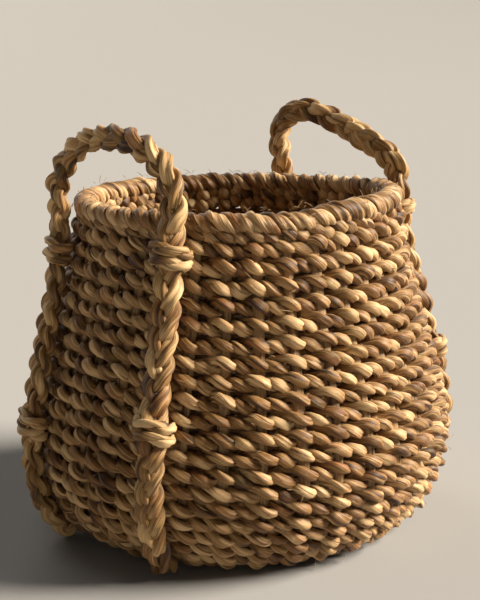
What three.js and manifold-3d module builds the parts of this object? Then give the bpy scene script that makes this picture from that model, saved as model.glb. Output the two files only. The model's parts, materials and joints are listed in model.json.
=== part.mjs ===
// Seagrass storage basket: a round, low-bellied basket twined over upright stakes, with two braided handles.
// Millimetres, +Z up. The origin is the centre of the flat underside; the handles stand at -X (left) and +X (right).
import * as THREE from 'three';
import { mergeVertices } from 'three/addons/utils/BufferGeometryUtils.js';
import Module from 'manifold-3d';

// ---- driving dimensions -------------------------------------------------------------------------------------
const HEIGHT = 152;               // floor to the top of the rim border
const STAKES = 36;                // uprights, and the number of flats on every woven ring
const ROWS = 20;                  // twined rows on the wall
const STRAND = 4.2;               // thickness of one seagrass strand
const STAKE = { thick: 2.6, wide: 4, hubRadius: 24 };
const GAP = 0.5;                  // clearance between neighbouring layers
const ROW_FILL = 0.93;            // share of the row pitch that a row fills

// Outside of the wall, floor edge to the underside of the rim, as (radius, height).
const WALL = new THREE.SplineCurve([
  new THREE.Vector2(77, 0),
  new THREE.Vector2(86, 6),
  new THREE.Vector2(93.5, 15.5),
  new THREE.Vector2(99, 31),
  new THREE.Vector2(99.8, 47),
  new THREE.Vector2(95.8, 68),
  new THREE.Vector2(88.8, 91),
  new THREE.Vector2(80.8, 115),
  new THREE.Vector2(75.5, 141.5),
]);
const WALL_STEPS = 12;            // straight stretches that a whole layer of the wall is made of
const LINING_BANDS = 4;           // the wall's inner strands, in bands of five rows

const BASE_MAT = { lowerRadius: 76.2, upperRadius: 73 };
const RIM = { radius: 69.6, wide: 11.6, high: 10 };

const BRAID = { wide: 14, thick: 9, clearance: 1.6 };
const LOOP_RISE = { left_handle: 26, right_handle: 30 };  // pivot line to the middle of the braid at the loop's top
const LOOP_LEAN = { left_handle: -1, right_handle: 15 };  // how far the loop's top stands aside, towards +Y
const PIVOT = { height: HEIGHT + 2.5, gap: 4 };        // the braid bends here; gap is the clearance above and below
const LEG_FOOT_SHARE = 0.095;     // share of the wall's length at which a leg starts

// The legs are laid and tied by hand, so each has its own line down the wall and its own lashing heights.
// foot, belly and rim are the leg's bearings from its handle's middle at those places, in degrees.
const LEGS = {
  left_handle_front: { foot: 24, belly: 24, rim: 25, lashings: { upper: 133, lower: 65 } },
  left_handle_back: { foot: 18, belly: 17, rim: 32, lashings: { upper: 127, lower: 54 } },
  right_handle_front: { foot: 34, belly: 33, rim: 26.5, lashings: { upper: 137, lower: 67 } },
  right_handle_back: { foot: 18, belly: 17, rim: 27.5, lashings: { upper: 131, lower: 54 } },
};
const BELLY_SHARE = 0.35;         // share of the wall's length at which the belly bearings hold
const LASHING = { thick: 2.4, high: 8, clearance: 1 };

// Depths below the outside of the wall: outer strands, then stakes, then inner strands.
const DEPTH = {
  stakeOuter: STRAND + GAP,
  stakeInner: STRAND + GAP + STAKE.thick,
  liningOuter: STRAND + 2 * GAP + STAKE.thick,
  liningInner: 2 * STRAND + 2 * GAP + STAKE.thick,
};

// ---- materials ----------------------------------------------------------------------------------------------
const seagrass = (color) => new THREE.MeshStandardMaterial({ color, roughness: 0.6, metalness: 0 });
const materials = {
  weft: seagrass('#a9824e'),
  stake: seagrass('#9c7a48'),
  rim: seagrass('#b8925a'),
  braid: seagrass('#b58a4c'),
  lashing: seagrass('#c09a60'),
};

// ---- shared helpers -----------------------------------------------------------------------------------------
const basket = new THREE.Group();
const wasm = await Module();
wasm.setup();

function addPiece(name, geometry, material, parent = basket) {
  const mesh = new THREE.Mesh(geometry, material);
  mesh.name = name;
  parent.add(mesh);
  return mesh;
}

// Unit vector that points out of the wall at share u of its length, as (radius, height).
function wallNormal(u) {
  const along = WALL.getTangentAt(u);
  return new THREE.Vector2(along.y, -along.x);
}

// Point at share u of the wall's length, moved inwards by depth (outwards if negative).
function wallPoint(u, depth) {
  return WALL.getPointAt(u).addScaledVector(wallNormal(u), -depth);
}

// Share of the wall's length at which it reaches a height.
function wallShareAt(height) {
  let low = 0;
  let high = 1;
  while (high - low > 1e-4) {
    const middle = (low + high) / 2;
    if (WALL.getPointAt(middle).y < height) low = middle;
    else high = middle;
  }
  return low;
}

// The basket's outside from the middle of the base to the rim, moved inwards by depth.
// Each corner moves along its mitre, so that all layers are parallel.
const OUTSIDE = [new THREE.Vector2(0, 0), ...WALL.getSpacedPoints(WALL_STEPS)];
function layer(depth) {
  const last = OUTSIDE.length - 1;
  const inwards = (i) => {
    const along = OUTSIDE[i + 1].clone().sub(OUTSIDE[i]).normalize();
    return new THREE.Vector2(-along.y, along.x);
  };
  return OUTSIDE.map((corner, i) => {
    const before = inwards(Math.max(i - 1, 0));
    const after = inwards(Math.min(i, last - 1));
    const mitre = before.clone().add(after).normalize();
    return corner.clone().addScaledVector(mitre, depth / mitre.dot(after));
  });
}

// A turned solid about Z. Its flats face the stakes and lie at the profile's own radius.
function turned(name, profile, material) {
  const toCorner = 1 / Math.cos(Math.PI / STAKES);
  const corners = profile.map((point) => new THREE.Vector2(point.x * toCorner, point.y));
  const mesh = addPiece(name, new THREE.LatheGeometry(corners, STAKES, Math.PI / STAKES), material);
  mesh.rotation.x = Math.PI / 2;
  return mesh;
}

function closedLoop(points) {
  return [...points, points[0].clone()];
}

function toManifold(geometry) {
  const bare = geometry.clone().deleteAttribute('normal').deleteAttribute('uv');
  const merged = mergeVertices(bare, 1e-4);
  return new wasm.Manifold(new wasm.Mesh({
    numProp: 3,
    vertProperties: merged.attributes.position.array,
    triVerts: new Uint32Array(merged.index.array),
  }));
}

function fromManifold(solid) {
  const mesh = solid.getMesh();
  return new THREE.BufferGeometry()
    .setAttribute('position', new THREE.BufferAttribute(mesh.vertProperties, 3))
    .setIndex(new THREE.BufferAttribute(mesh.triVerts, 1));
}

// ---- base, rows, lining and rim -----------------------------------------------------------------------------
// Lower strands of the base rounds, as one flat mat.
function addBaseMat() {
  turned('base_mat', [
    new THREE.Vector2(0, 0),
    new THREE.Vector2(BASE_MAT.lowerRadius, 0),
    new THREE.Vector2(BASE_MAT.upperRadius, STRAND),
    new THREE.Vector2(0, STRAND),
  ], materials.weft);
}

// Outer strands of one twined row: flat against the stakes, with its outer corners cut.
function addWeftRow(index) {
  const middle = (index + 0.5) / ROWS;
  const at = (halves, depth) => wallPoint(middle + (halves * ROW_FILL) / (2 * ROWS), depth);
  turned(`weft_row_${String(index + 1).padStart(2, '0')}`, closedLoop([
    at(-1, STRAND),
    at(-0.6, 0),
    at(0.6, 0),
    at(1, STRAND),
  ]), materials.weft);
}

// Inner strands of the base rounds, as one flat mat, and those of the wall's rows, in bands.
function addInnerWeft() {
  const outer = layer(DEPTH.liningOuter);
  const inner = layer(DEPTH.liningInner);
  turned('inner_base_mat', [
    outer[0],
    outer[1].clone().setX(outer[1].x - 2 * GAP),
    inner[1].clone().setX(inner[1].x - 2 * GAP),
    inner[0],
  ], materials.weft);
  const bandSteps = WALL_STEPS / LINING_BANDS;
  const endCut = 0.04;            // share of a step that a band stops short at each end
  for (let band = 0; band < LINING_BANDS; band++) {
    const first = 1 + band * bandSteps;
    const stretch = (points) => {
      const own = points.slice(first, first + bandSteps + 1).map((point) => point.clone());
      own[0].lerp(own[1], endCut);
      own[bandSteps].lerp(own[bandSteps - 1], endCut);
      return own;
    };
    turned(`inner_weft_band_${band + 1}`, closedLoop([...stretch(outer), ...stretch(inner).reverse()]), materials.weft);
  }
}

// The twisted border that closes the top over the stake ends.
function addRimBorder() {
  const sides = 8;
  const reach = 1 / Math.cos(Math.PI / sides);
  const profile = Array.from({ length: sides }, (_, i) => {
    const angle = ((i + 0.5) / sides) * 2 * Math.PI;
    return new THREE.Vector2(
      RIM.radius + (RIM.wide / 2) * reach * Math.cos(angle),
      HEIGHT - RIM.high / 2 + (RIM.high / 2) * reach * Math.sin(angle),
    );
  });
  turned('rim_border', closedLoop(profile), materials.rim);
}

// ---- stakes -------------------------------------------------------------------------------------------------
// One stake from the middle of the base out and up to the rim, as a bent flat strip standing in the XZ plane.
function stakeSolid() {
  const outline = new THREE.Shape([...layer(DEPTH.stakeOuter), ...layer(DEPTH.stakeInner).reverse()]);
  const strip = new THREE.ExtrudeGeometry(outline, { depth: STAKE.wide, bevelEnabled: false, steps: 1 });
  strip.translate(0, 0, -STAKE.wide / 2);
  strip.rotateX(Math.PI / 2);
  return toManifold(strip);
}

// All the stakes cross and are bound together in the middle of the base, so they are joined there in a hub.
function addStakes() {
  const hub = new THREE.CylinderGeometry(STAKE.hubRadius, STAKE.hubRadius, STAKE.thick, STAKES);
  hub.rotateX(Math.PI / 2);
  hub.translate(0, 0, (DEPTH.stakeOuter + DEPTH.stakeInner) / 2);
  const stake = stakeSolid();
  let cage = toManifold(hub);
  for (let i = 0; i < STAKES; i++) {
    cage = cage.add(stake.rotate([0, 0, (360 * i) / STAKES]));
  }
  addPiece('stakes', fromManifold(cage), materials.stake);
}

// ---- handles ------------------------------------------------------------------------------------------------
// Section of the braid, a rectangle with its corners cut. Its first axis lies across the plane of the path.
function braidSection(widthFirst) {
  const [a, b] = widthFirst ? [BRAID.wide / 2, BRAID.thick / 2] : [BRAID.thick / 2, BRAID.wide / 2];
  const cut = BRAID.thick * 0.24;
  return new THREE.Shape([
    new THREE.Vector2(a, b - cut),
    new THREE.Vector2(a - cut, b),
    new THREE.Vector2(cut - a, b),
    new THREE.Vector2(-a, b - cut),
    new THREE.Vector2(-a, cut - b),
    new THREE.Vector2(cut - a, -b),
    new THREE.Vector2(a - cut, -b),
    new THREE.Vector2(a, cut - b),
  ]);
}

const legDepth = -(BRAID.thick / 2 + BRAID.clearance);
const legTop = wallPoint(1, legDepth);

// A group whose XZ plane stands at a bearing round the basket's axis.
function meridianGroup(bearing) {
  const group = new THREE.Group();
  group.rotation.z = bearing;
  basket.add(group);
  return group;
}

// Bearing of a leg from its handle's middle at a share of the wall's length: a parabola through foot, belly and rim.
function legSpread(leg, share) {
  const ofFoot = ((share - BELLY_SHARE) * (share - 1)) / BELLY_SHARE;
  const ofBelly = (share * (share - 1)) / (BELLY_SHARE * (BELLY_SHARE - 1));
  const ofRim = (share * (share - BELLY_SHARE)) / (1 - BELLY_SHARE);
  return THREE.MathUtils.degToRad(leg.foot * ofFoot + leg.belly * ofBelly + leg.rim * ofRim);
}

// One leg, lashed flat up the wall from its foot to just below the bend. turn is 1 if it stands round from its
// handle's middle in the direction of rising bearings, and -1 if not.
function addLeg(name, middle, turn) {
  const leg = LEGS[name];
  const bearingAt = (share) => middle + turn * legSpread(leg, share);
  const mainBearing = bearingAt(0.75);   // the braid's section stays square to this one
  const at = (place, bearing) => {
    const aside = bearing - mainBearing;
    return new THREE.Vector3(place.x * Math.cos(aside), place.x * Math.sin(aside), place.y);
  };
  const points = Array.from({ length: 10 }, (_, i) => {
    const share = LEG_FOOT_SHARE + ((1 - LEG_FOOT_SHARE) * i) / 9;
    return at(wallPoint(share, legDepth), bearingAt(share));
  });
  points.push(at(new THREE.Vector2(legTop.x, PIVOT.height - PIVOT.gap), bearingAt(1)));
  const path = new THREE.CatmullRomCurve3(points, false, 'centripetal');
  const geometry = new THREE.ExtrudeGeometry(braidSection(true), { steps: 16, bevelEnabled: false, extrudePath: path });
  addPiece(`${name}_leg`, geometry, materials.braid, meridianGroup(mainBearing));
  for (const [place, height] of Object.entries(leg.lashings)) {
    addLashing(`${name}_${place}_lashing`, wallShareAt(height), bearingAt);
  }
}

// A lashing: a strap of a few wraps square over the braid, with both ends at the wall, where they pass through to
// the inside. share is its place on the wall's length, and bearingAt gives the leg's bearing there.
function addLashing(name, share, bearingAt) {
  const inner = { a: BRAID.wide / 2 + LASHING.clearance, b: BRAID.thick / 2 + LASHING.clearance };
  const outer = { a: inner.a + LASHING.thick, b: inner.b + LASHING.thick };
  const squareness = 0.55;        // under 1 fills out the corners of an ellipse
  const arc = ({ a, b }, angle) => new THREE.Vector2(
    a * Math.sign(Math.cos(angle)) * Math.abs(Math.cos(angle)) ** squareness,
    b * Math.sin(angle) ** squareness,
  );
  const arcSteps = 8;
  const angles = Array.from({ length: arcSteps - 1 }, (_, i) => (Math.PI * (i + 1)) / arcSteps);
  const foot = -BRAID.thick / 2;
  const shape = new THREE.Shape([
    new THREE.Vector2(outer.a, foot),
    new THREE.Vector2(outer.a, 0),
    ...angles.map((angle) => arc(outer, angle)),
    new THREE.Vector2(-outer.a, 0),
    new THREE.Vector2(-outer.a, foot),
    new THREE.Vector2(-inner.a, foot),
    new THREE.Vector2(-inner.a, 0),
    ...angles.reverse().map((angle) => arc(inner, angle)),
    new THREE.Vector2(inner.a, 0),
    new THREE.Vector2(inner.a, foot),
  ]);
  const geometry = new THREE.ExtrudeGeometry(shape, { depth: LASHING.high, bevelEnabled: false, steps: 1 });
  geometry.translate(0, 0, -LASHING.high / 2);

  const normal = wallNormal(share);
  const place = wallPoint(share, legDepth);
  const nearby = 0.01;
  const turnNearby = bearingAt(share + nearby) - bearingAt(share - nearby);
  const lean = (turnNearby * place.x) / (2 * nearby * WALL.getLength());
  const out = new THREE.Vector3(normal.x, 0, normal.y);
  const up = new THREE.Vector3(-normal.y, lean, normal.x).normalize();
  const strap = addPiece(name, geometry, materials.lashing, meridianGroup(bearingAt(share)));
  strap.quaternion.setFromRotationMatrix(new THREE.Matrix4().makeBasis(out.clone().cross(up), out, up));
  strap.position.set(place.x, 0, place.y);
}

// The free loop above the rim: half an ellipse, pushed aside at its top, over the chord between its two legs.
function addLoop(name, side) {
  const front = THREE.MathUtils.degToRad(LEGS[`${name}_front`].rim);
  const back = THREE.MathUtils.degToRad(LEGS[`${name}_back`].rim);
  const offset = (legTop.x * (Math.cos(front) + Math.cos(back))) / 2;
  const halfSpan = (legTop.x * (Math.sin(back) + Math.sin(front))) / 2;
  const middle = (legTop.x * (Math.sin(back) - Math.sin(front))) / 2;
  const loop = new THREE.Group();
  loop.position.set(side * offset, 0, PIVOT.height);
  basket.add(loop);
  const arcPoints = 12;
  const points = Array.from({ length: arcPoints + 1 }, (_, i) => {
    const angle = (Math.PI * i) / arcPoints;
    const height = Math.max(LOOP_RISE[name] * Math.sin(angle), PIVOT.gap);
    return new THREE.Vector3(0, middle + LOOP_LEAN[name] * Math.sin(angle) - halfSpan * Math.cos(angle), height);
  });
  const path = new THREE.CatmullRomCurve3(points, false, 'centripetal');
  const geometry = new THREE.ExtrudeGeometry(braidSection(false), { steps: 20, bevelEnabled: false, extrudePath: path });
  addPiece(`${name}_loop`, geometry, materials.braid, loop);
}

// ---- assembly -----------------------------------------------------------------------------------------------
addBaseMat();
addStakes();
addInnerWeft();
for (let row = 0; row < ROWS; row++) addWeftRow(row);
addRimBorder();

for (const [name, side] of [['left_handle', -1], ['right_handle', 1]]) {
  const middle = side < 0 ? Math.PI : 0;
  addLeg(`${name}_front`, middle, -side);
  addLeg(`${name}_back`, middle, side);
  addLoop(name, side);
}

export default basket;
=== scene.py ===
"""Seagrass storage basket: the looks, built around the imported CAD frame.

Every woven piece is a tube mesh swept along a path: two strands twine round the stakes in each row, three
strands twist into the rim border, and three strands braid each handle. Lengths in this file are metres, except
where a comment says mm.
"""
import json
import math

import bpy
import numpy as np
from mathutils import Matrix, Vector


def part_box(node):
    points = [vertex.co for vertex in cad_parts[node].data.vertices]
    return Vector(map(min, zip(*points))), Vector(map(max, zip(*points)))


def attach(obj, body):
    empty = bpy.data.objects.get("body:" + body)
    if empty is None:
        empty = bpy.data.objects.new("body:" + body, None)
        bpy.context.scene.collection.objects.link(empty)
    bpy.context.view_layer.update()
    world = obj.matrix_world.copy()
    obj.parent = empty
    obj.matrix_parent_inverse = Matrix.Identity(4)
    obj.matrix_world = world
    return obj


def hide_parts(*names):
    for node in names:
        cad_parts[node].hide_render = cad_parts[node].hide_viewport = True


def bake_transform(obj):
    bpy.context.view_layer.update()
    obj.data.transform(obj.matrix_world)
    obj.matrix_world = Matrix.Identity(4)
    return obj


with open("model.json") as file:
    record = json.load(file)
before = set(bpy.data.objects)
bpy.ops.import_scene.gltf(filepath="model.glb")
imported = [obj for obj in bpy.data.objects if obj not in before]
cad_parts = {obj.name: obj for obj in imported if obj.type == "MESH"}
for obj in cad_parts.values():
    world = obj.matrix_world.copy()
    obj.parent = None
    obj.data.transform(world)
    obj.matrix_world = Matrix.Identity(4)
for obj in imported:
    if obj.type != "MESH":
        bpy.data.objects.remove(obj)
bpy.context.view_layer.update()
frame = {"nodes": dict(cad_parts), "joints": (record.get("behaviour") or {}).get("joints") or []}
MM = 0.001
rng = np.random.default_rng(7)

# ---- sizes: counts as in the CAD, the rest worked out from the frame -----------------------------------------
STAKES = 36
STRAND = 4.2 * MM           # as in the CAD
ROW_NAMES = sorted(name for name in frame["nodes"] if name.startswith("weft_row_"))
LEGS = ("left_handle_front", "left_handle_back", "right_handle_front", "right_handle_back")


def vertices(node):
    """The CAD node's vertices as an array."""
    mesh = frame["nodes"][node].data
    co = np.zeros(len(mesh.vertices) * 3)
    mesh.vertices.foreach_get("co", co)
    return co.reshape(-1, 3)


def ring_middle(node):
    """(radius, height) of the middle of a turned node's section."""
    co = vertices(node)
    return np.array([np.hypot(co[:, 0], co[:, 1]).mean(), co[:, 2].mean()])


def unit(v):
    return v / np.linalg.norm(v, axis=-1, keepdims=True)


def polar(line, bearing):
    """(radius, height) points turned to a bearing, or each to its own."""
    return np.stack([line[:, 0] * np.cos(bearing), line[:, 0] * np.sin(bearing), line[:, 1]], axis=1)


# Middle of the wall's thickness as (radius, height), one point a row, and the wall's outward normal there.
OUTER_DEPTH = STRAND / 2
MIDDLE_DEPTH = 6.0 * MM
BASE_HEIGHT = MIDDLE_DEPTH + 0.5 * MM       # middle of the base's thickness above the floor
ring_middles = np.array([ring_middle(name) for name in ROW_NAMES])
wall_tangents = unit(np.gradient(ring_middles, axis=0))
wall_normals = np.stack([wall_tangents[:, 1], -wall_tangents[:, 0]], axis=1)
wall_middles = ring_middles - wall_normals * (MIDDLE_DEPTH - OUTER_DEPTH)
wall_length = np.concatenate([[0], np.cumsum(np.linalg.norm(np.diff(ring_middles, axis=0), axis=1))])


def wall_at(length, depth):
    """(radius, height) and outward normal on the wall at a length along it from the first row, at a depth
    below the outside."""
    normal = unit(np.stack([np.interp(length, wall_length, wall_normals[:, i]) for i in (0, 1)], axis=-1))
    place = np.stack([np.interp(length, wall_length, ring_middles[:, i]) for i in (0, 1)], axis=-1)
    return place + normal * (OUTER_DEPTH - depth), normal


RIM = ring_middle("rim_border")
RIM_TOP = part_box("rim_border")[1].z


# ---- hand-made irregularity ----------------------------------------------------------------------------------
def wander(count, knots, size, closed=True):
    """count values that wander smoothly by about size through so many random knots."""
    values = rng.normal(0, size, knots)
    if closed:
        values = np.append(values, values[0])
        x = np.linspace(0, knots, count, endpoint=False)
    else:
        x = np.linspace(0, knots - 1, count)
    low = np.floor(x).astype(int)
    share = x - low
    share = share * share * (3 - 2 * share)
    high = np.minimum(low + 1, len(values) - 1)
    return values[low] * (1 - share) + values[high] * share


# The rim rises and falls a little on its way round: (bearing in degrees, lift in mm).
RIM_LIFT = ((-180, 0.0), (-120, 0.5), (-90, 2.5), (-60, 4.0), (-30, 3.0), (0, 0.5), (60, 0.0), (120, 0.0),
            (180, 0.0))


def warp(points):
    """Moves points as the weaver's hand did: the body is slightly out of round and its rim isn't level."""
    x, y, z = points[..., 0], points[..., 1], points[..., 2]
    bearing = np.arctan2(y, x)
    degrees = np.degrees(bearing)
    lift = np.interp(degrees, [p[0] for p in RIM_LIFT], [p[1] for p in RIM_LIFT]) * MM
    height = np.clip(z / RIM_TOP, 0, 1)
    out = 1 + 0.006 * height * np.cos(2 * bearing + 0.8) + 0.005 * np.cos(3 * bearing + 2.0) * height
    return np.stack([x * out, y * out, z + lift * height**2], axis=-1)


# ---- tubes ---------------------------------------------------------------------------------------------------
class Tubes:
    """Collects swept tubes and makes them one mesh object, with a UV map in metres along and round each."""

    def __init__(self):
        self.points, self.quads, self.uvs, self.tints, self.caps = [], [], [], [], []
        self.count = 0

    def add(self, path, across, radius_across, radius_other, closed=False, sides=12, lobes=0.07,
            turns=None, tint=0.0, taper=0.0):
        """Sweeps one strand along path. across is a direction for each point; the strand's section is an
        ellipse of radius_across along it and radius_other across it, with lobes that twist along the strand."""
        n = len(path)
        ahead = np.roll(path, -1, 0) - np.roll(path, 1, 0) if closed else np.gradient(path, axis=0)
        ahead = unit(ahead)
        other = unit(np.cross(ahead, across))
        first = np.cross(other, ahead)
        step = np.linalg.norm(np.diff(path, axis=0, append=path[:1]), axis=1)
        length = np.concatenate([[0], np.cumsum(step)])
        total = length[-1] if closed else length[-2]
        turns = max(1, round(total / 0.045)) if turns is None else turns
        twist = 2 * math.pi * turns * length[:n] / total
        angle = np.linspace(0, 2 * math.pi, sides, endpoint=False)
        start = rng.uniform(0, 2 * math.pi)
        phase = angle[None, :] - twist[:, None] + start
        ripple = 1 + lobes * np.cos(3 * phase) + 0.6 * lobes * np.cos(5 * phase + 1.3)
        ra = (radius_across * np.ones(n))[:, None]
        ro = (radius_other * np.ones(n))[:, None]
        if taper and not closed:
            ends = np.minimum(length[:n], total - length[:n]) / taper
            squeeze = (0.25 + 0.75 * np.clip(ends, 0, 1) ** 0.6)[:, None]
            ra, ro = ra * squeeze, ro * squeeze
        ring = (path[:, None, :] + first[:, None, :] * (ra * ripple * np.cos(angle))[..., None]
                + other[:, None, :] * (ro * ripple * np.sin(angle))[..., None])
        spans = n if closed else n - 1
        i = np.arange(spans)[:, None]
        j = np.arange(sides)[None, :]
        i2, j2 = (i + 1) % n, (j + 1) % sides
        quads = np.stack([i * sides + j, i2 * sides + j, i2 * sides + j2, i * sides + j2], axis=-1)
        self.quads.append(quads.reshape(-1, 4) + self.count)
        round_step = 2 * math.pi * float(np.mean(ra)) / sides
        offset = rng.uniform(0, 1)
        swirl = twist / (2 * math.pi) * round_step * sides
        swirl = np.append(swirl, swirl[-1] + (swirl[1] - swirl[0]))
        u0, u1 = length[:spans][:, None] + 0 * j, length[1:spans + 1][:, None] + 0 * j
        v0, v1 = j * round_step - swirl[:spans][:, None], j * round_step - swirl[1:spans + 1][:, None]
        uv = np.stack([np.stack([u0, v0], -1), np.stack([u1, v1], -1), np.stack([u1, v1 + round_step], -1),
                       np.stack([u0, v0 + round_step], -1)], axis=2)
        self.uvs.append(uv.reshape(-1, 2) + offset)
        self.tints.append(np.repeat(tint * np.ones(n), sides))
        if not closed:
            self.caps.append((self.count + np.arange(sides))[::-1])
            self.caps.append(self.count + (n - 1) * sides + np.arange(sides))
        self.points.append(ring.reshape(-1, 3))
        self.count += n * sides

    def make(self, name, material):
        """Joins the tubes into one mesh object, shaped by warp()."""
        points = warp(np.concatenate(self.points))
        quads = np.concatenate(self.quads)
        caps = np.concatenate(self.caps) if self.caps else np.zeros(0, int)
        sizes = np.concatenate([np.full(len(quads), 4), [len(c) for c in self.caps]]).astype(int)
        mesh = bpy.data.meshes.new(name)
        mesh.vertices.add(len(points))
        mesh.vertices.foreach_set("co", points.astype(np.float32).ravel())
        corners = np.concatenate([quads.ravel(), caps]).astype(np.int32)
        mesh.loops.add(len(corners))
        mesh.loops.foreach_set("vertex_index", corners)
        mesh.polygons.add(len(sizes))
        mesh.polygons.foreach_set("loop_start", np.concatenate([[0], np.cumsum(sizes)[:-1]]).astype(np.int32))
        mesh.update(calc_edges=True)
        mesh.validate()
        mesh.polygons.foreach_set("use_smooth", np.ones(len(mesh.polygons), bool))
        uv = np.zeros((len(corners), 2), np.float32)
        flat = np.concatenate(self.uvs)
        uv[:len(flat)] = flat
        mesh.uv_layers.new(name="strand").data.foreach_set("uv", uv.ravel())
        tint = mesh.attributes.new("tint", "FLOAT", "POINT")
        tint.data.foreach_set("value", np.concatenate(self.tints).astype(np.float32))
        mesh.materials.append(material)
        piece = bpy.data.objects.new(name, mesh)
        bpy.context.scene.collection.objects.link(piece)
        return piece


def place(piece, slot, *nodes, body="basket"):
    """Hides the CAD nodes a piece stands for, and lets it ride on its body. slot is not used."""
    if nodes:
        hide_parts(*nodes)
    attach(piece, body)


# ---- material ------------------------------------------------------------------------------------------------
def seagrass(name, dark, middle, light, olive=0.25, roughness=0.52):
    """Dried seagrass: long fibres along each strand in straw and brown, with painted shade darkening the creases
    between them.
    """
    material = bpy.data.materials.new(name)
    material.use_nodes = True
    nodes, links = material.node_tree.nodes, material.node_tree.links
    shader = nodes["Principled BSDF"]

    def node(kind, **values):
        made = nodes.new(kind)
        for key, value in values.items():
            if key in made.inputs:
                made.inputs[key].default_value = value
            else:
                setattr(made, key, value)
        return made

    def math_node(operation, a, b=0.0, clamp=False):
        made = node("ShaderNodeMath", operation=operation, use_clamp=clamp)
        for socket, value in ((made.inputs[0], a), (made.inputs[1], b)):
            if isinstance(value, bpy.types.NodeSocket):
                links.new(value, socket)
            else:
                socket.default_value = value
        return made.outputs[0]

    def pattern(along, across, detail, distortion=0.0):
        """Noise stretched along the strand: across and along are features a metre."""
        scale = node("ShaderNodeMapping")
        scale.inputs["Scale"].default_value = (along, across, 1)
        links.new(strand, scale.inputs["Vector"])
        noise = node("ShaderNodeTexNoise", Scale=1.0, Detail=detail, Roughness=0.6, Distortion=distortion)
        links.new(scale.outputs[0], noise.inputs["Vector"])
        return noise.outputs["Fac"]

    def ramp(factor, stops):
        made = node("ShaderNodeValToRGB")
        elements = made.color_ramp.elements
        while len(elements) < len(stops):
            elements.new(0.5)
        for element, (position, color) in zip(elements, stops):
            element.position = position
            element.color = (*color, 1)
        links.new(factor, made.inputs["Fac"])
        return made.outputs["Color"]

    def mix(factor, a, b, blend_type="MIX"):
        made = node("ShaderNodeMix", data_type="RGBA", blend_type=blend_type)
        for socket, value in ((made.inputs[0], factor), (made.inputs[6], a), (made.inputs[7], b)):
            if isinstance(value, bpy.types.NodeSocket):
                links.new(value, socket)
            else:
                socket.default_value = value if isinstance(value, float) else (*value, 1)
        return made.outputs[2]

    strand = node("ShaderNodeUVMap", uv_map="strand").outputs["UV"]
    # This strand attribute holds each strand's own tone of colour, and painted shade for the strands between
    # rows.
    tint = node("ShaderNodeAttribute", attribute_name="tint").outputs["Fac"]
    fibres = pattern(90, 2600, 4.0)
    leaves = pattern(28, 420, 2.0, 0.3)
    patches = pattern(45, 90, 3.0)
    blend = math_node("ADD", math_node("MULTIPLY", fibres, 0.5), math_node("MULTIPLY", leaves, 0.5))
    blend = math_node("ADD", blend, math_node("MULTIPLY", tint, 0.16))
    color = ramp(blend, ((0.34, dark), (0.48, middle), (0.62, light)))
    green = ramp(patches, ((0.50, (0.0, 0.0, 0.0)), (0.68, (1.0, 1.0, 1.0))))
    color = mix(math_node("MULTIPLY", green, olive), color, (0.26, 0.19, 0.045))
    red = ramp(pattern(38, 60, 2.0), ((0.56, (0.0, 0.0, 0.0)), (0.70, (1.0, 1.0, 1.0))))
    color = mix(math_node("MULTIPLY", red, 0.35), color, (0.36, 0.13, 0.035))
    # Painted shade: the grooves between the leaves, where the bump sinks, are darkened as if shaded.
    crease_shade = ramp(leaves, ((0.32, (0.22, 0.16, 0.12)), (0.43, (1.0, 1.0, 1.0))))
    color = mix(0.75, color, crease_shade, "MULTIPLY")
    links.new(color, shader.inputs["Base Color"])
    rough = math_node("ADD", math_node("MULTIPLY", fibres, 0.35), roughness - 0.17)
    links.new(rough, shader.inputs["Roughness"])
    shader.inputs["Specular IOR Level"].default_value = 0.35
    shader.inputs["Sheen Weight"].default_value = 0.08
    shader.inputs["Sheen Roughness"].default_value = 0.5

    height = math_node("ADD", math_node("MULTIPLY", fibres, 0.35), leaves)
    bump = node("ShaderNodeBump", Strength=1.0, Distance=0.8 * MM)
    links.new(height, bump.inputs["Height"])
    links.new(bump.outputs["Normal"], shader.inputs["Normal"])
    return material


DARK, MIDDLE, LIGHT = (0.050, 0.016, 0.003), (0.238, 0.112, 0.028), (0.58, 0.385, 0.185)
WEFT = seagrass("seagrass_weft", DARK, MIDDLE, LIGHT)
STAKE = seagrass("seagrass_stake", (0.05, 0.022, 0.006), (0.15, 0.082, 0.03), (0.34, 0.21, 0.09), olive=0.1)
BORDER = seagrass("seagrass_rim", (0.055, 0.019, 0.004), (0.235, 0.118, 0.034), (0.57, 0.38, 0.19), olive=0.15)
BRAID = seagrass("seagrass_braid", DARK, (0.25, 0.122, 0.030), (0.57, 0.375, 0.17), olive=0.25)
LASHING = seagrass("seagrass_lashing", DARK, (0.255, 0.13, 0.036), (0.57, 0.38, 0.18), olive=0.2)


# ---- rows ----------------------------------------------------------------------------------------------------
BEAD_SWING = 3.2 * MM       # how far a strand swings in and out of the wall
BEAD_STAY = 1.1 * MM        # how far out it still is where the two strands cross
BEAD_BIAS = 0.7 * MM        # the strand over the stakes stands further out than the one between them
BEAD_RISE = 1.6 * MM        # how far a strand climbs and drops within its row
BEAD_STEP = 0.8 * MM        # the strand over the stakes lies higher, and the one between them lower
SAMPLES = 16                # points along a strand from stake to stake
# Half a strand's thickness in mm, through the wall and up it: everywhere, then what it gains outside the stakes
# and what it gains inside them.
BEAD_THROUGH = (1.95, 0.1, 0.2)
BEAD_UP = (1.9, 0.3, 1.75)
BETWEEN_ROWS_DEPTH = 2.6 * MM       # the thin strands between rows lie this far inside the wall's middle
BETWEEN_ROWS_THROUGH, BETWEEN_ROWS_UP = 1.1 * MM, 1.6 * MM      # half their thickness


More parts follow.
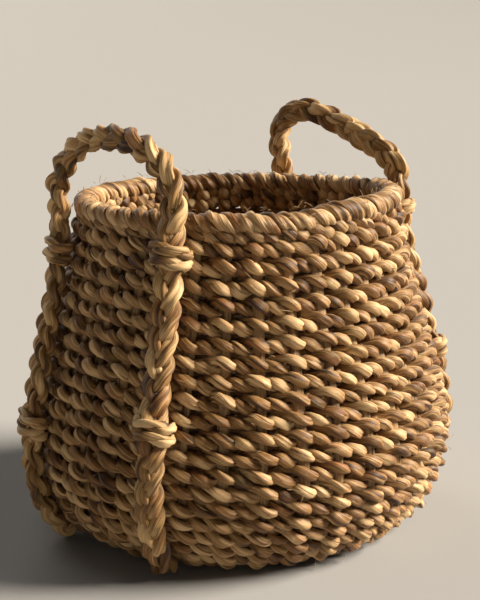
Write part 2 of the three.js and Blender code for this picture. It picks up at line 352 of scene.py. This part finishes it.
def add_twined_ring(tubes, middle, normal, waves, bearing_jitter=0.0, samples=SAMPLES, swing=1.0):
    """Two strands twined round one ring of stakes. middle is the ring's (radius, height), normal its outward
    direction; waves is the number of stakes."""
    count = waves * samples
    bearing = np.linspace(0, 2 * math.pi, count, endpoint=False)
    phase = waves * bearing + wander(count, waves, bearing_jitter)
    along_wall = np.array([-normal[1], normal[0]])
    steady = np.arcsin(0.96 * np.sin(phase)) / math.asin(0.96)
    for side in (1, -1):
        facing = side * np.cos(phase)
        front, back = np.clip(facing, 0, 1), np.clip(-facing, 0, 1)
        depth = swing * (BEAD_SWING * facing + BEAD_STAY * (1 - facing**2) + side * BEAD_BIAS)
        depth = depth + wander(count, waves * 2, 0.25 * MM)
        rise = side * (BEAD_STEP - BEAD_RISE * steady) + wander(count, waves * 2, 0.38 * MM)
        radius = middle[0] + normal[0] * depth + along_wall[0] * rise
        height = middle[1] + normal[1] * depth + along_wall[1] * rise
        path = polar(np.stack([radius, height], axis=1), bearing)
        out = polar(np.tile(normal, (count, 1)), bearing)
        fat = 1 + wander(count, waves, 0.08)
        through, up = ((plain + outside * front + inside * back) * MM * fat
                       for plain, outside, inside in (BEAD_THROUGH, BEAD_UP))
        tubes.add(path, out, through, up, closed=True, sides=14, lobes=0.12, tint=wander(count, waves * 2, 0.4))


def add_plain_ring(tubes, middle, waves):
    """A thin strand that lies behind the stakes, in the gap between two rows, darkened as painted shade for that
    gap.
    """
    count = waves * 8
    bearing = np.linspace(0, 2 * math.pi, count, endpoint=False)
    radius = middle[0] + wander(count, waves, 0.15 * MM)
    height = middle[1] + wander(count, waves, 0.3 * MM)
    path = polar(np.stack([radius, height], axis=1), bearing)
    out = polar(np.tile([1.0, 0.0], (count, 1)), bearing)
    # The low value given here darkens the strand: painted shade for the shaded gap between rows.
    tubes.add(path, out, BETWEEN_ROWS_THROUGH, BETWEEN_ROWS_UP, closed=True, sides=8, lobes=0.1, tint=-0.7)


def make_rows():
    """The wall's twined rows, one piece a row, each with the thin strand between it and the row above."""
    for index, name in enumerate(ROW_NAMES):
        tubes = Tubes()
        add_twined_ring(tubes, wall_middles[index], wall_normals[index], STAKES, 0.36)
        if index + 1 < len(ROW_NAMES):
            between = (wall_middles[index] + wall_middles[index + 1]) / 2
            add_plain_ring(tubes, between - wall_normals[index] * BETWEEN_ROWS_DEPTH, STAKES)
        place(tubes.make(f"twined_row_{index + 1:02d}", WEFT), "weft", name)


# ---- base ----------------------------------------------------------------------------------------------------
ROUND_PITCH = 7.4 * MM
ROUND_INSET = 6.4 * MM      # the outermost round's middle lies this far inside the lowest row's
SMALLEST_ROUND = 2.5 * MM
ROUND_STAKES = ((46 * MM, 36), (21 * MM, 18), (9 * MM, 9))      # (radius, stakes that wider rounds pass over)
MIDDLE_BUNDLES = 3          # the smallest rounds pass over three bundles


def make_base():
    """Twined rounds of the base, from the edge to the middle, over fewer stakes as the rounds get smaller."""
    tubes = Tubes()
    down = np.array([0.0, -1.0])
    outermost = wall_middles[0][0] - ROUND_INSET
    for i in range(int(outermost / ROUND_PITCH) + 1):
        radius = max(outermost - i * ROUND_PITCH, SMALLEST_ROUND)
        waves = next((stakes for over, stakes in ROUND_STAKES if radius > over), MIDDLE_BUNDLES)
        samples = 10 if waves == STAKES else 14
        add_twined_ring(tubes, np.array([radius, BASE_HEIGHT]), down, waves, 0.2, samples=samples, swing=0.9)
    piece = tubes.make("base_rounds", WEFT)
    base_nodes = [name for name in frame["nodes"] if name.startswith(("base_mat", "inner_"))]
    place(piece, "weft", *base_nodes)


# ---- stakes --------------------------------------------------------------------------------------------------
STAKE_STARTS = (0.5, 46, 22, 46, 22, 46)        # mm from the middle of the base, by turns
STAKE_ACROSS, STAKE_THROUGH = 2.6 * MM, 1.5 * MM        # half a bundle's width and thickness


def make_stakes():
    """Flat bundles that run out from the middle of the base and up through the rows into the rim."""
    tubes = Tubes()
    up_wall = np.linspace(0, wall_length[-1], 40)
    wall, _ = wall_at(up_wall, MIDDLE_DEPTH)
    for i in range(STAKES):
        starts = STAKE_STARTS[i % len(STAKE_STARTS)] * MM
        floor_r = np.linspace(starts, wall[0][0] - 4 * MM, 12)
        floor = np.stack([floor_r, np.full(12, BASE_HEIGHT)], axis=1)
        top = np.array([[wall[-1][0] - 0.6 * MM, RIM[1] - 2 * MM]])
        line = np.concatenate([floor, wall, top])
        bearing = 2 * math.pi * i / STAKES + rng.normal(0, 0.004)
        sideways = np.array([-math.sin(bearing), math.cos(bearing), 0])
        path = polar(line, bearing)
        path = path + sideways * wander(len(path), 9, 0.25 * MM, closed=False)[:, None]
        across = np.tile(sideways, (len(path), 1))
        tubes.add(path, across, STAKE_ACROSS, STAKE_THROUGH, sides=16, lobes=0.10, turns=0.4,
                  tint=wander(len(path), 12, 0.5, closed=False) + 0.5)
    place(tubes.make("stake_bundles", STAKE), "stake", "stakes")


# ---- rim -----------------------------------------------------------------------------------------------------
def make_rim():
    """Three thick strands twisted into the border."""
    tubes = Tubes()
    turns, strands = 18, 3
    helix, thickness = 2.9 * MM, 4.9 * MM
    count = turns * 40
    bearing = np.linspace(0, 2 * math.pi, count, endpoint=False)
    level = wander(count, 15, 0.5 * MM)
    for k in range(strands):
        phase = -turns * bearing + 2 * math.pi * k / strands + wander(count, 30, 0.10)
        reach = helix * (1 + wander(count, 40, 0.08))
        radius = RIM[0] + reach * 1.05 * np.cos(phase)
        height = RIM[1] + reach * 0.85 * np.sin(phase) + level
        path = polar(np.stack([radius, height], axis=1), bearing)
        out = polar(np.stack([np.cos(phase), np.sin(phase)], axis=1), bearing)
        fat = 1 + wander(count, 45, 0.08)
        tubes.add(path, out, thickness / 2 * 0.92 * fat, thickness / 2 * 1.08 * fat, closed=True, sides=18,
                  lobes=0.14, tint=wander(count, 60, 0.45))
    under = wall_middles[-1] + np.array([-0.6, 5.6]) * MM     # the stake ends, bound in just below the border
    add_twined_ring(tubes, under, wall_normals[-1], STAKES, 0.4, swing=0.75)
    place(tubes.make("rim_rope", BORDER), "rim", "rim_border")


# ---- handles -------------------------------------------------------------------------------------------------
FOOT_OFFSET = 3.4 * MM      # middle of a leg's braid outside the wall at its foot
RIM_OFFSET = 5.6 * MM       # and at the rim, where the braid has to pass outside the border
BRAID_PERIOD = 31 * MM
BRAID_SWING = 3.1 * MM
BRAID_LIFT = 1.7 * MM
BRAID_ACROSS, BRAID_THROUGH = 2.8 * MM, 2.45 * MM       # half a strand's width across the braid, and through it
BRAID_SAMPLES = 460         # points along a whole handle
LOOP_SAMPLES = 22           # of the line that shapes the loop
LOOP_TOP_DEPTH = 7 * MM     # the braid's middle lies this far below the top of the CAD loop
# Over 1, the front side of the loop is straighter.
LOOP_POINT = {"left_handle": 1.0, "right_handle": 2.2}
# How far the loop's top stands aside, along +Y.
LOOP_LEAN = {"left_handle": -1.0 * MM, "right_handle": 19.0 * MM}


def leg_bearings(leg):
    """A function from height to bearing along a CAD leg's middle line."""
    co = vertices(f"{leg}_leg")
    middle = math.pi if leg.startswith("left") else 0.0
    aside = np.angle(np.exp(1j * (np.arctan2(co[:, 1], co[:, 0]) - middle)))
    fit = np.polyfit(co[:, 2], aside, 3)
    low, high = co[:, 2].min() + 8 * MM, co[:, 2].max() - 5 * MM
    return lambda height: middle + np.polyval(fit, np.clip(height, low, high))


def braid_offset(length):
    """How far the braid's middle stands off the wall at a length along it."""
    return np.interp(length, [0.6 * wall_length[-1], wall_length[-1]], [FOOT_OFFSET, RIM_OFFSET])


def leg_line(leg):
    """A leg's middle line from its foot up to the rim, and its outward directions."""
    lengths = np.linspace(6 * MM, wall_length[-1], 24)
    line, normal = wall_at(lengths, 0)
    line = line + normal * braid_offset(lengths)[:, None]
    foot = np.array([[line[0][0] - 5 * MM, 5.6 * MM], [line[0][0] - 2.5 * MM, 6.2 * MM]])
    line = np.concatenate([foot, line])
    normal = np.concatenate([normal[:1], normal[:1], normal])
    bearing = leg_bearings(leg)(line[:, 1])
    return polar(line, bearing), polar(normal, bearing)


def resample(points, extra, count):
    """points and the values that go with them, at equal lengths along a smooth curve through them."""
    step = np.linalg.norm(np.diff(points, axis=0), axis=1)
    length = np.concatenate([[0], np.cumsum(step)])
    at = np.linspace(0, length[-1], count)
    both = np.concatenate([points, extra], axis=1)
    out = np.stack([np.interp(at, length, both[:, i]) for i in range(both.shape[1])], axis=1)
    kernel = np.hanning(2 * (count // 60) + 3)
    kernel /= kernel.sum()
    half = len(kernel) // 2
    for i in range(out.shape[1]):
        padded = np.concatenate([np.full(half, out[0, i]), out[:, i], np.full(half, out[-1, i])])
        out[:, i] = np.convolve(padded, kernel, "valid")
    return out[:, :3], out[:, 3:], length[-1]


def make_handle(name, side):
    """One continuous three-strand braid: up the front leg, over the loop and down the back leg."""
    front, front_out = leg_line(f"{name}_front")
    back, back_out = leg_line(f"{name}_back")
    low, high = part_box(f"{name}_loop")
    offset = (low.x + high.x) / 2
    half_span, middle = (back[-1][1] - front[-1][1]) / 2, (back[-1][1] + front[-1][1]) / 2
    pivot = next(j for j in frame["joints"] if j["name"] == f"{name}_bend")["pos_m"][2]
    rise = high.z - LOOP_TOP_DEPTH - pivot
    angle = np.linspace(0.12, math.pi - 0.12, LOOP_SAMPLES)
    height = np.sin(angle)
    aside = np.where(angle < math.pi / 2, np.abs(np.cos(angle)) ** LOOP_POINT[name], np.cos(angle))
    loop = np.stack([np.full(LOOP_SAMPLES, offset), middle - half_span * aside + LOOP_LEAN[name] * height,
                     pivot + rise * height], axis=1)
    loop_out = np.tile([float(side), 0, 0], (LOOP_SAMPLES, 1))
    points = np.concatenate([front, loop, back[::-1]])
    outward = np.concatenate([front_out, loop_out, back_out[::-1]])
    count = BRAID_SAMPLES
    line, outward, length = resample(points, outward, count)
    outward = unit(outward)
    ahead = unit(np.gradient(line, axis=0))
    across = unit(np.cross(ahead, outward))
    outward = np.cross(across, ahead)
    along = np.linspace(0, length, count)
    tubes = Tubes()
    turn = 2 * math.pi * along / BRAID_PERIOD + wander(count, 16, 0.25, closed=False)
    width = 1 + wander(count, 22, 0.06, closed=False)
    for k in range(3):
        phase = turn + 2 * math.pi * k / 3
        sideways = BRAID_SWING * width * np.sin(phase)
        lift = BRAID_LIFT * np.sin(2 * phase)
        path = line + across * sideways[:, None] + outward * lift[:, None]
        fat = 1 + wander(count, 30, 0.08, closed=False)
        tubes.add(path, across, BRAID_ACROSS * fat, BRAID_THROUGH * fat, sides=22, lobes=0.19, taper=6 * MM,
                  tint=wander(count, 40, 0.45, closed=False))
    piece = tubes.make(f"{name}_braid", BRAID)
    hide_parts(f"{name}_front_leg", f"{name}_loop", f"{name}_back_leg")
    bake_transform(piece)


# ---- lashings ------------------------------------------------------------------------------------------------
PASS_SHIFT = 2.3 * MM       # the two passes of a lashing lie this far above and below its middle
PASS_SLOPE = -0.16          # how much a pass climbs on its way across the leg
LAY = 22 * MM               # length of one turn of the lashing's two strands
LASHING_ACROSS, LASHING_THROUGH = 1.75 * MM, 1.55 * MM      # half a strand's width and thickness
TWIST_ACROSS, TWIST_THROUGH = 1.15 * MM, 0.9 * MM           # how far a strand swings from its pass's middle


def make_lashings():
    """Two passes of a two-strand twist over each leg, where the CAD straps are."""
    for leg in LEGS:
        bearings = leg_bearings(leg)
        for level in ("upper", "lower"):
            node = f"{leg}_{level}_lashing"
            low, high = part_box(node)
            height = (low.z + high.z) / 2
            bearing = float(bearings(height))
            length = float(np.interp(height, ring_middles[:, 1], wall_length))
            tubes = Tubes()
            for pass_shift in (-PASS_SHIFT, PASS_SHIFT):
                add_lashing_pass(tubes, length + pass_shift + rng.normal(0, 0.3 * MM), bearing)
            place(tubes.make(f"{leg}_{level}_wraps", LASHING), "lashing", node)


def add_lashing_pass(tubes, length, bearing):
    """One pass of the lashing over a leg, from inside the wall on one side to inside it on the other."""
    count = 60
    angle = np.linspace(math.radians(-50), math.radians(230), count)
    half_width, half_height = 7.0 * MM, 4.9 * MM
    sideways = -half_width * np.cos(angle)
    outwards = half_height * np.sign(np.sin(angle)) * np.abs(np.sin(angle)) ** 0.8
    slope = PASS_SLOPE * sideways
    place_at, normal = wall_at(np.array([length]), -float(braid_offset(length)) + 0.6 * MM)
    centre = polar(place_at, bearing)[0]
    out = polar(normal, bearing)[0]
    side = np.array([-math.sin(bearing), math.cos(bearing), 0])
    up = np.cross(out, side)
    if up[2] < 0:
        up = -up
    spine = centre + side * sideways[:, None] + out * outwards[:, None] + up * slope[:, None]
    ahead = unit(np.gradient(spine, axis=0))
    lateral = np.tile(up, (count, 1))
    radial = unit(np.cross(ahead, lateral))
    start = rng.uniform(0, 2 * math.pi)
    total = np.linalg.norm(np.diff(spine, axis=0), axis=1).sum()
    twist = 2 * math.pi * np.linspace(0, total, count) / LAY + start
    for k in range(2):
        phase = twist + math.pi * k
        path = (spine + lateral * (TWIST_ACROSS * np.sin(phase))[:, None]
                + radial * (TWIST_THROUGH * np.cos(phase))[:, None])
        fat = 1 + wander(count, 8, 0.08, closed=False)
        tubes.add(path, lateral, LASHING_ACROSS * fat, LASHING_THROUGH * fat, sides=14, lobes=0.12, taper=3 * MM,
                  tint=wander(count, 6, 0.6, closed=False) + 0.2)


# ---- loose fibres --------------------------------------------------------------------------------------------
FIBRES = 380
FIBRE_RADIUS = 0.13 * MM


def make_fibres():
    """Short broken fibres that stand out of the rim and the wall."""
    tubes = Tubes()
    for i in range(FIBRES):
        bearing = rng.uniform(0, 2 * math.pi)
        if i % 2:
            around = rng.uniform(-0.2, 2.6)
            out = np.array([math.cos(around), math.sin(around)])
            root = RIM + out * 5.2 * MM
            long = rng.uniform(1.5, 4.5) * MM
        else:
            length = rng.uniform(0, wall_length[-1])
            spot, normal = wall_at(np.array([length]), 0.4 * MM)
            root, out = spot[0], normal[0]
            long = rng.uniform(2, 7) * MM
        radial = np.array([math.cos(bearing), math.sin(bearing), 0])
        side = np.array([-math.sin(bearing), math.cos(bearing), 0])
        start = radial * root[0] + np.array([0, 0, root[1]])
        outward = radial * out[0] + np.array([0, 0, out[1]])
        lean = side * rng.choice([-1, 1]) * rng.uniform(0.6, 1.6) + np.array([0, 0, rng.normal(0, 0.5)])
        t = np.linspace(0, 1, 5)[:, None]
        path = start + (lean * t + outward * 0.55 * np.sin(math.pi * 0.6 * t)) * long * 0.7
        across = np.tile(np.cross(lean, outward), (5, 1))
        tubes.add(path, across, FIBRE_RADIUS, FIBRE_RADIUS, sides=4, lobes=0, turns=1, taper=long * 0.4,
                  tint=rng.uniform(0.2, 1.4))
    place(tubes.make("loose_fibres", STAKE), "stake")


# ---- stage, light and camera ---------------------------------------------------------------------------------
CAMERA = {"azimuth": -46.0, "distance": 0.551, "height": 0.2246, "pitch": 12.72, "lens": 72.24,
          "shift": 0.0035}


def make_camera():
    a, p = math.radians(CAMERA["azimuth"]), math.radians(CAMERA["pitch"])
    data = bpy.data.cameras.new("camera")
    data.lens, data.sensor_width, data.sensor_fit = CAMERA["lens"], 36, "AUTO"
    data.shift_x = CAMERA["shift"]
    data.clip_start = 0.01
    camera = bpy.data.objects.new("camera", data)
    camera.location = (CAMERA["distance"] * math.sin(a), -CAMERA["distance"] * math.cos(a), CAMERA["height"])
    look = Vector((-math.sin(a) * math.cos(p), math.cos(a) * math.cos(p), -math.sin(p)))
    camera.rotation_euler = look.to_track_quat("-Z", "Y").to_euler()
    bpy.context.scene.collection.objects.link(camera)
    bpy.context.scene.camera = camera


def make_stage():
    """A pale floor, flat round the basket, that curves up further out until it stands above the horizon."""
    material = bpy.data.materials.new("floor")
    material.use_nodes = True
    shader = material.node_tree.nodes["Principled BSDF"]
    shader.inputs["Base Color"].default_value = (0.34, 0.335, 0.325, 1)
    shader.inputs["Roughness"].default_value = 1.0
    shader.inputs["Specular IOR Level"].default_value = 0.0
    sides, flat, reach = 96, 3.0, 25.0      # metres: flat out to the first radius, and curving up to the second
    curve = 80.0                # the larger, the gentler it curves up
    radii = np.linspace(flat, reach, 25)
    bearing = np.linspace(0, 2 * math.pi, sides, endpoint=False)
    points = [(r * math.cos(b), r * math.sin(b), (r - flat) ** 2 / curve) for r in radii for b in bearing]
    faces = [tuple(range(sides))]
    for ring in range(len(radii) - 1):
        for side in range(sides):
            after = (side + 1) % sides
            faces.append((ring * sides + side, (ring + 1) * sides + side,
                          (ring + 1) * sides + after, ring * sides + after))
    mesh = bpy.data.meshes.new("floor")
    mesh.from_pydata(points, [], faces)
    mesh.polygons.foreach_set("use_smooth", [True] * len(faces))
    mesh.materials.append(material)
    floor = bpy.data.objects.new("floor", mesh)
    bpy.context.scene.collection.objects.link(floor)


def add_sun(name, azimuth, elevation, energy, softness, color):
    """A sun seen at an azimuth and elevation, with its disc softness degrees wide."""
    a, e = math.radians(azimuth), math.radians(elevation)
    data = bpy.data.lights.new(name, "SUN")
    data.energy, data.angle, data.color = energy, math.radians(softness), color
    light = bpy.data.objects.new(name, data)
    away = Vector((math.sin(a) * math.cos(e), -math.cos(a) * math.cos(e), math.sin(e)))
    light.rotation_euler = away.to_track_quat("Z", "Y").to_euler()
    bpy.context.scene.collection.objects.link(light)


def make_lights():
    """A low warm sun from the front right, a weak one from behind, and a little light from all round."""
    add_sun("key", 45, 31, 10.3, 26, (1.0, 0.91, 0.79))
    add_sun("fill", 165, 38, 1.0, 50, (1.0, 0.96, 0.90))
    world = bpy.data.worlds.new("world")
    world.use_nodes = True
    background = world.node_tree.nodes["Background"]
    background.inputs["Color"].default_value = (0.80, 0.80, 0.80, 1)
    background.inputs["Strength"].default_value = 0.05
    bpy.context.scene.world = world


make_camera()
make_stage()
make_lights()
make_rows()
make_base()
make_stakes()
make_rim()
for handle_name, handle_side in (("left_handle", -1), ("right_handle", 1)):
    make_handle(handle_name, handle_side)
make_lashings()
make_fibres()

bpy.context.scene.view_settings.view_transform = "Standard"
